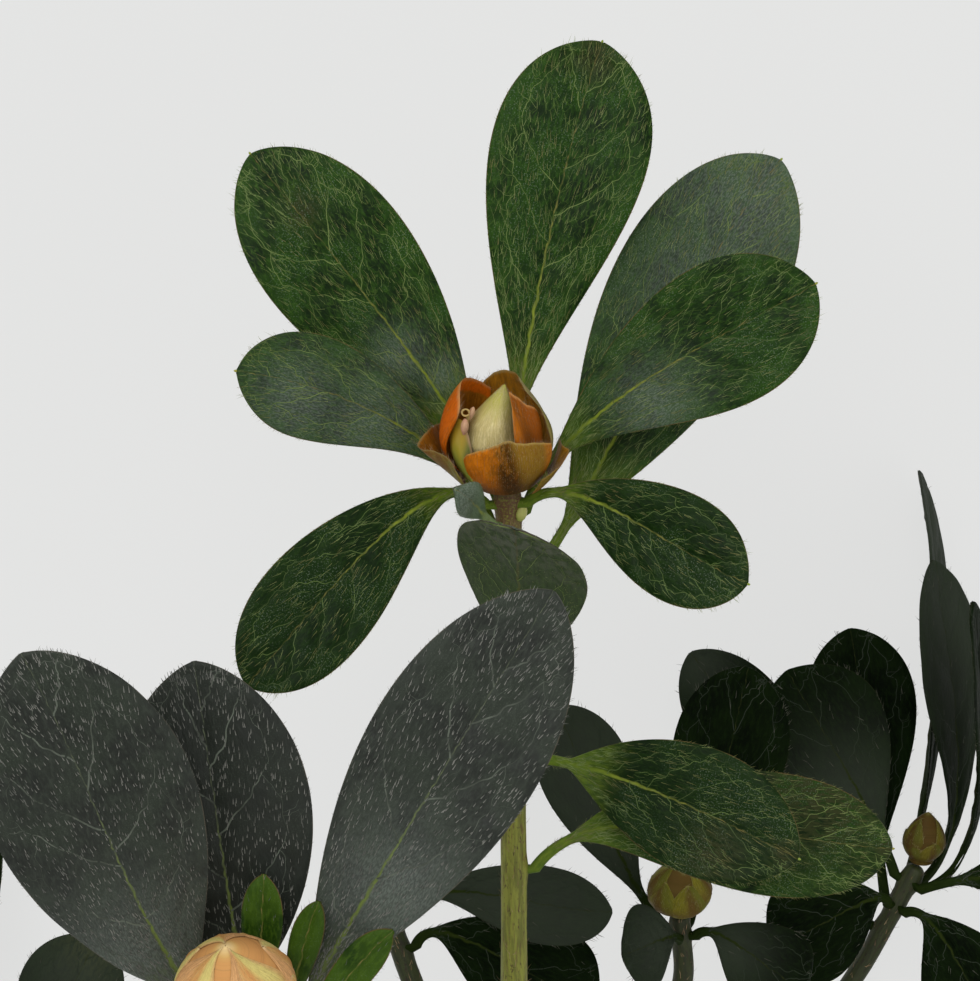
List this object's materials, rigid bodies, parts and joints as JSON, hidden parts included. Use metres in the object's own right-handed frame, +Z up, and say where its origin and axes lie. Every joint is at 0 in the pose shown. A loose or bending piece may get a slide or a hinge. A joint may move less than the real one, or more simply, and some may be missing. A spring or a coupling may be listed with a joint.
{
  "type": "azalea branch",
  "caption": "Cut azalea branch lying on its back: a woody stem with leafy side shoots, a whorl of oval leaves and an opening flower bud of papery scales.",
  "frame": {"origin": "bottom centre of the bounding box: under the middle of the lying branch, on the surface it lies on", "axes": "+Z up, away from the surface; +Y from the cut end of the main stem towards the main whorl and its bud; +X to the right of somebody who looks down at the face of the main whorl with its bud at the top"},
  "size_m": [0.1482, 0.139, 0.0955],
  "materials": {
    "bark": "yellow-green young bark with brown specks, woody brown at the cut",
    "leaf": "dark green leathery leaf with a soft sheen, pale veins and fine tan hairs",
    "bud_scale": "papery orange-brown, thin and finely hairy",
    "bud_core": "silky pale cream-green",
    "bud": "matte olive to cream closed bud"
  },
  "bodies": {
    "root": {"main_stem": "bark", "main_leaf_1": "leaf", "main_leaf_2": "leaf", "main_leaf_3": "leaf", "main_leaf_4": "leaf", "main_leaf_5": "leaf", "main_leaf_6": "leaf", "main_leaf_7": "leaf", "main_leaf_8": "leaf", "main_leaf_9": "leaf", "main_leaf_10": "leaf", "main_leaf_11": "leaf", "front_stem": "bark", "front_leaf_1": "leaf", "front_leaf_2": "leaf", "front_leaf_3": "leaf", "front_leaf_4": "leaf", "front_leaf_5": "leaf", "front_leaf_6": "leaf", "front_leaf_7": "leaf", "front_leaf_8": "leaf", "low_stem": "bark", "low_leaf_1": "leaf", "low_leaf_2": "leaf", "low_leaf_3": "leaf", "low_leaf_4": "leaf", "back_stem": "bark", "back_leaf_1": "leaf", "back_leaf_2": "leaf", "back_leaf_3": "leaf", "middle_stem": "bark", "middle_leaf_1": "leaf", "middle_leaf_2": "leaf", "middle_leaf_3": "leaf", "middle_leaf_4": "leaf", "right_stem": "bark", "right_leaf_1": "leaf", "right_leaf_2": "leaf", "right_leaf_3": "leaf", "right_leaf_4": "leaf", "right_leaf_5": "leaf", "right_leaf_6": "leaf", "right_leaf_7": "leaf", "right_leaf_8": "leaf", "right_leaf_9": "leaf", "bud_core": "bud_core", "bud_scale_left": "bud_scale", "bud_scale_back": "bud_scale", "bud_scale_right": "bud_scale", "bud_scale_front": "bud_scale", "bud_scale_low_left": "bud_scale", "bud_scale_low_right": "bud_scale", "front_bud": "bud", "middle_bud": "bud", "right_bud": "bud"}
  },
  "joints": []
}
